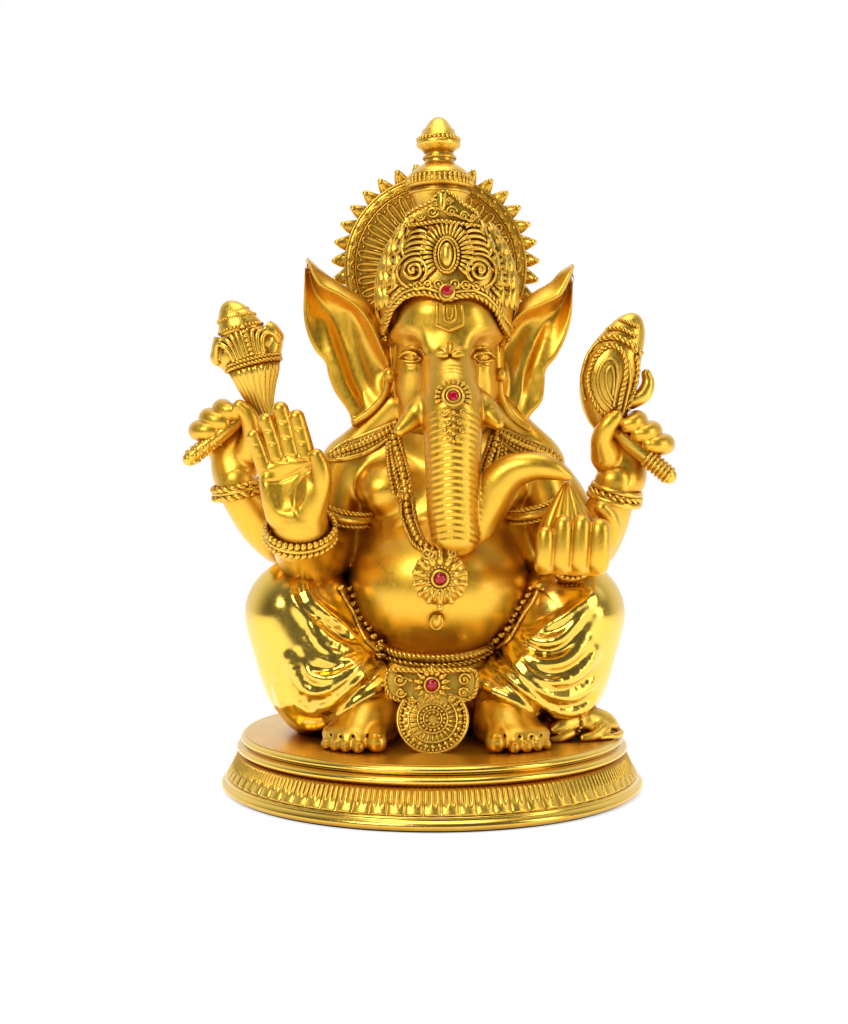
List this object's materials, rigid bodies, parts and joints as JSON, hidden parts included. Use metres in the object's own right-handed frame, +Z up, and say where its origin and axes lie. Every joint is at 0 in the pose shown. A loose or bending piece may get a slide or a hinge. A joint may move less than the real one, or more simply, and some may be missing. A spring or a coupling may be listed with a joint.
{
  "type": "ganesha idol",
  "caption": "Seated elephant-headed figure with raised arms, a tall crown and a round halo, on a round moulded plinth, for a home shrine.",
  "frame": {"origin": "middle of the felt's underside, where the idol rests", "axes": "+Z up, front faces -Y, the figure's right side is -X"},
  "size_m": [0.2171, 0.19, 0.3],
  "materials": {
    "satin_gold": "satin gold plating over cast resin",
    "bright_gold": "polished gold plating over cast resin",
    "antique_gold": "textured gold plating with darker recesses",
    "red_crystal": "faceted, foil backed",
    "steel": "plain",
    "raw_resin": "unplated cast resin",
    "felt": "pressed felt"
  },
  "bodies": {
    "root": {"torso": "satin_gold", "right_front_arm": "satin_gold", "left_front_arm": "satin_gold", "right_rear_arm": "satin_gold", "left_rear_arm": "satin_gold", "right_front_hand": "satin_gold", "left_front_hand": "satin_gold", "right_rear_hand": "satin_gold", "left_rear_hand": "satin_gold", "right_foot": "satin_gold", "left_foot": "satin_gold", "head": "satin_gold", "trunk": "satin_gold", "right_ear": "satin_gold", "left_ear": "satin_gold", "right_tusk": "satin_gold", "left_tusk": "satin_gold", "modak": "satin_gold", "right_leg": "bright_gold", "left_leg": "bright_gold", "plinth_shell": "bright_gold", "waist_cord": "antique_gold", "belt_apron": "antique_gold", "hem_medallion": "antique_gold", "buckle": "antique_gold", "navel_drop": "antique_gold", "necklace": "antique_gold", "pendant": "antique_gold", "neck_strands": "antique_gold", "mouse": "antique_gold", "mouse_collar": "antique_gold", "armlets": "antique_gold", "right_front_bangle": "antique_gold", "left_front_bangle": "antique_gold", "right_rear_bangle": "antique_gold", "left_rear_bangle": "antique_gold", "right_rear_emblem": "antique_gold", "left_rear_emblem": "antique_gold", "trunk_ornament": "antique_gold", "ear_studs": "antique_gold", "right_collar": "antique_gold", "left_collar": "antique_gold", "crown": "antique_gold", "crown_plaque": "antique_gold", "crown_finial": "antique_gold", "halo": "antique_gold", "cover_screws": "steel", "figure_bolts": "steel", "bolt_washers": "steel", "hip_dowels": "steel", "shoulder_dowels": "steel", "neck_dowel": "steel", "trunk_pin": "steel", "ear_pins": "steel", "crown_dowel": "steel", "finial_dowel": "steel", "halo_screws": "steel", "red_stones": "red_crystal", "base_cover": "raw_resin", "felt_pad": "felt"}
  },
  "joints": []
}
